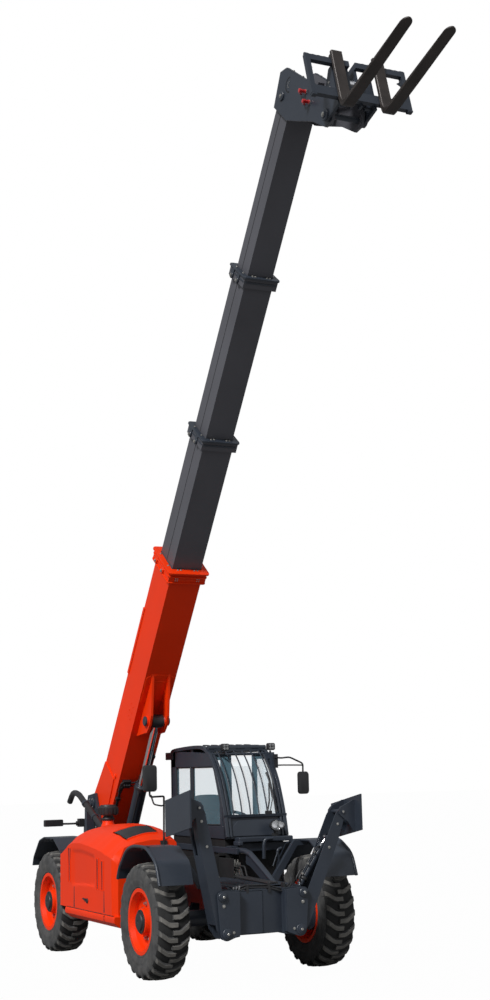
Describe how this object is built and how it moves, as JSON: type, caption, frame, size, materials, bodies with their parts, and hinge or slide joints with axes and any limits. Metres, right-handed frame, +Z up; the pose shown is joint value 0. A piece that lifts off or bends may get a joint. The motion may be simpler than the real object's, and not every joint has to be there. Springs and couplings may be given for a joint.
{
  "type": "telehandler",
  "caption": "Rough-terrain telehandler with a raised telescopic boom, fork carriage, front stabilisers, side engine pod and offset cab.",
  "frame": {"origin": "on the ground, under the middle of the bounding box", "axes": "+Z up, -Y towards the forks, +X the vehicle's left (cab side)"},
  "size_m": [2.345, 8.7818, 9.3224],
  "materials": {
    "orange_paint": "vivid orange-red gloss paint",
    "navy_paint": "dark navy-grey satin paint",
    "boom_grey": "dark grey paint on the inner boom sections",
    "fork_steel": "near-black forged steel",
    "tyre_rubber": "dark grey rubber",
    "chrome_rod": "polished rod",
    "window_glass": "clear tinted glass",
    "seat_cover": "dark seat cover",
    "black_plastic": "black plastic",
    "cast_engine": "grey casting"
  },
  "bodies": {
    "machine": {"chassis_frame": "navy_paint", "axles": "navy_paint", "engine_block": "cast_engine", "engine_hood": "orange_paint", "fenders": "navy_paint", "cab_frame": "navy_paint", "cab_glass": "window_glass", "seat": "seat_cover", "steering_console": "black_plastic", "stabiliser_beam": "navy_paint", "exhaust": "navy_paint", "mirrors_and_lamps": "black_plastic", "tank_and_step": "navy_paint"},
    "cab_door": {"cab_door": "navy_paint", "cab_door_glass": "window_glass"},
    "boom_base": {"boom_base": "orange_paint"},
    "boom_section_2": {"boom_section_2": "boom_grey"},
    "boom_section_3": {"boom_section_3": "boom_grey"},
    "boom_section_4": {"boom_section_4": "boom_grey"},
    "lift_barrel": {"lift_barrel": "navy_paint"},
    "lift_rod": {"lift_rod": "chrome_rod"},
    "tilt_barrel": {"tilt_barrel": "navy_paint"},
    "tilt_rod": {"tilt_rod": "chrome_rod"},
    "carriage": {"carriage_frame": "navy_paint", "forks": "fork_steel"},
    "knuckle_front_left": {"knuckle_front_left": "navy_paint"},
    "wheel_front_left": {"rim_front_left": "orange_paint", "tyre_front_left": "tyre_rubber"},
    "knuckle_front_right": {"knuckle_front_right": "navy_paint"},
    "wheel_front_right": {"rim_front_right": "orange_paint", "tyre_front_right": "tyre_rubber"},
    "knuckle_rear_left": {"knuckle_rear_left": "navy_paint"},
    "wheel_rear_left": {"rim_rear_left": "orange_paint", "tyre_rear_left": "tyre_rubber"},
    "knuckle_rear_right": {"knuckle_rear_right": "navy_paint"},
    "wheel_rear_right": {"rim_rear_right": "orange_paint", "tyre_rear_right": "tyre_rubber"},
    "stabiliser_leg_left": {"stabiliser_leg_left": "navy_paint"},
    "stabiliser_pad_left": {"stabiliser_pad_left": "navy_paint"},
    "stabiliser_barrel_left": {"stabiliser_barrel_left": "navy_paint"},
    "stabiliser_rod_left": {"stabiliser_rod_left": "chrome_rod"},
    "stabiliser_leg_right": {"stabiliser_leg_right": "navy_paint"},
    "stabiliser_pad_right": {"stabiliser_pad_right": "navy_paint"},
    "stabiliser_barrel_right": {"stabiliser_barrel_right": "navy_paint"},
    "stabiliser_rod_right": {"stabiliser_rod_right": "chrome_rod"}
  },
  "joints": [
    {"name": "steer_front_left", "type": "hinge", "parent": "machine", "child": "knuckle_front_left", "pos_m": [0.8, 0.283, 0.603], "axis": [0, 0, 1], "range_deg": [-30, 30]},
    {"name": "spin_front_left", "type": "hinge", "parent": "knuckle_front_left", "child": "wheel_front_left", "pos_m": [0.962, 0.283, 0.603], "axis": [1, 0, 0], "continuous": true},
    {"name": "steer_front_right", "type": "hinge", "parent": "machine", "child": "knuckle_front_right", "pos_m": [-0.8, 0.283, 0.603], "axis": [0, 0, 1], "range_deg": [-30, 30]},
    {"name": "spin_front_right", "type": "hinge", "parent": "knuckle_front_right", "child": "wheel_front_right", "pos_m": [-0.962, 0.283, 0.603], "axis": [1, 0, 0], "continuous": true},
    {"name": "steer_rear_left", "type": "hinge", "parent": "machine", "child": "knuckle_rear_left", "pos_m": [0.8, 3.383, 0.603], "axis": [0, 0, 1], "range_deg": [-30, 30]},
    {"name": "spin_rear_left", "type": "hinge", "parent": "knuckle_rear_left", "child": "wheel_rear_left", "pos_m": [0.962, 3.383, 0.603], "axis": [1, 0, 0], "continuous": true},
    {"name": "steer_rear_right", "type": "hinge", "parent": "machine", "child": "knuckle_rear_right", "pos_m": [-0.8, 3.383, 0.603], "axis": [0, 0, 1], "range_deg": [-30, 30]},
    {"name": "spin_rear_right", "type": "hinge", "parent": "knuckle_rear_right", "child": "wheel_rear_right", "pos_m": [-0.962, 3.383, 0.603], "axis": [1, 0, 0], "continuous": true},
    {"name": "boom_lift", "type": "hinge", "parent": "machine", "child": "boom_base", "pos_m": [-0.12, 3.903, 1.76], "axis": [-1, 0, 0], "range_deg": [-52.7, 17.3]},
    {"name": "boom_extend_2", "type": "slide", "parent": "boom_base", "child": "boom_section_2", "axis": [0, -0.606, 0.7955], "range_m": [-1.45, 0.9]},
    {"name": "boom_extend_3", "type": "slide", "parent": "boom_section_2", "child": "boom_section_3", "axis": [0, -0.606, 0.7955], "range_m": [-1.45, 0.9]},
    {"name": "boom_extend_4", "type": "slide", "parent": "boom_section_3", "child": "boom_section_4", "axis": [0, -0.606, 0.7955], "range_m": [-1.45, 0.9]},
    {"name": "lift_cylinder_swing", "type": "hinge", "parent": "machine", "child": "lift_barrel", "pos_m": [-0.12, 3.483, 0.95], "axis": [-1, 0, 0], "range_deg": [-48.54, 16.27]},
    {"name": "lift_cylinder_stroke", "type": "slide", "parent": "lift_barrel", "child": "lift_rod", "axis": [0, -0.5577, 0.83], "range_m": [-0.75092, 0.25322]},
    {"name": "carriage_tilt", "type": "hinge", "parent": "boom_section_4", "child": "carriage", "pos_m": [-0.08, -2.88839, 8.42081], "axis": [1, 0, 0], "range_deg": [-45, 55]},
    {"name": "tilt_cylinder_swing", "type": "hinge", "parent": "boom_section_4", "child": "tilt_barrel", "pos_m": [-0.12, -1.85484, 9.04184], "axis": [-1, 0, 0], "range_deg": [-2.97, 2.52]},
    {"name": "tilt_cylinder_stroke", "type": "slide", "parent": "tilt_barrel", "child": "tilt_rod", "axis": [0, -0.9627, -0.2707], "range_m": [-0.23071, 0.27976]},
    {"name": "stabiliser_left", "type": "hinge", "parent": "machine", "child": "stabiliser_leg_left", "pos_m": [0.277, -0.502, 0.52], "axis": [0, 1, 0], "range_deg": [0, 80]},
    {"name": "pad_left", "type": "hinge", "parent": "stabiliser_leg_left", "child": "stabiliser_pad_left", "pos_m": [0.82218, -0.502, 1.68914], "axis": [0, 1, 0], "range_deg": [-12, 12]},
    {"name": "stabiliser_cylinder_swing_left", "type": "hinge", "parent": "machine", "child": "stabiliser_barrel_left", "pos_m": [0.32, -0.502, 0.885], "axis": [0, 1, 0], "range_deg": [-0.5, 93.12]},
    {"name": "stabiliser_cylinder_stroke_left", "type": "slide", "parent": "stabiliser_barrel_left", "child": "stabiliser_rod_left", "axis": [0.5742, 0, 0.8187], "range_m": [-0.01, 0.43131]},
    {"name": "stabiliser_right", "type": "hinge", "parent": "machine", "child": "stabiliser_leg_right", "pos_m": [-0.557, -0.502, 0.52], "axis": [0, -1, 0], "range_deg": [0, 92]},
    {"name": "pad_right", "type": "hinge", "parent": "stabiliser_leg_right", "child": "stabiliser_pad_right", "pos_m": [-0.83621, -0.502, 1.77942], "axis": [0, -1, 0], "range_deg": [-12, 12]},
    {"name": "stabiliser_cylinder_swing_right", "type": "hinge", "parent": "machine", "child": "stabiliser_barrel_right", "pos_m": [-0.6, -0.502, 0.885], "axis": [0, -1, 0], "range_deg": [-0.5, 111.01]},
    {"name": "stabiliser_cylinder_stroke_right", "type": "slide", "parent": "stabiliser_barrel_right", "child": "stabiliser_rod_right", "axis": [-0.273, 0, 0.962], "range_m": [-0.01, 0.38384]},
    {"name": "door_hinge", "type": "hinge", "parent": "machine", "child": "cab_door", "pos_m": [0.974, 1.783, 1.5], "axis": [0, 0, 1], "range_deg": [0, 110]}
  ],
  "couplings": [
    {"joint": "steer_front_right", "follows": "steer_front_left", "ratio": 1},
    {"joint": "steer_rear_left", "follows": "steer_front_left", "ratio": -1},
    {"joint": "steer_rear_right", "follows": "steer_front_left", "ratio": -1},
    {"joint": "boom_extend_3", "follows": "boom_extend_2", "ratio": 1},
    {"joint": "boom_extend_4", "follows": "boom_extend_2", "ratio": 1},
    {"joint": "lift_cylinder_swing", "follows": "boom_lift", "ratio": 0.91152},
    {"joint": "lift_cylinder_stroke", "follows": "boom_lift", "m_per_rad": 0.80553},
    {"joint": "tilt_cylinder_swing", "follows": "carriage_tilt", "ratio": -0.04486},
    {"joint": "tilt_cylinder_stroke", "follows": "carriage_tilt", "m_per_rad": 0.28102},
    {"joint": "stabiliser_cylinder_swing_left", "follows": "stabiliser_left", "ratio": 1.1578},
    {"joint": "stabiliser_cylinder_stroke_left", "follows": "stabiliser_left", "m_per_rad": 0.30174},
    {"joint": "stabiliser_cylinder_swing_right", "follows": "stabiliser_right", "ratio": 1.2012},
    {"joint": "stabiliser_cylinder_stroke_right", "follows": "stabiliser_right", "m_per_rad": 0.23282}
  ]
}
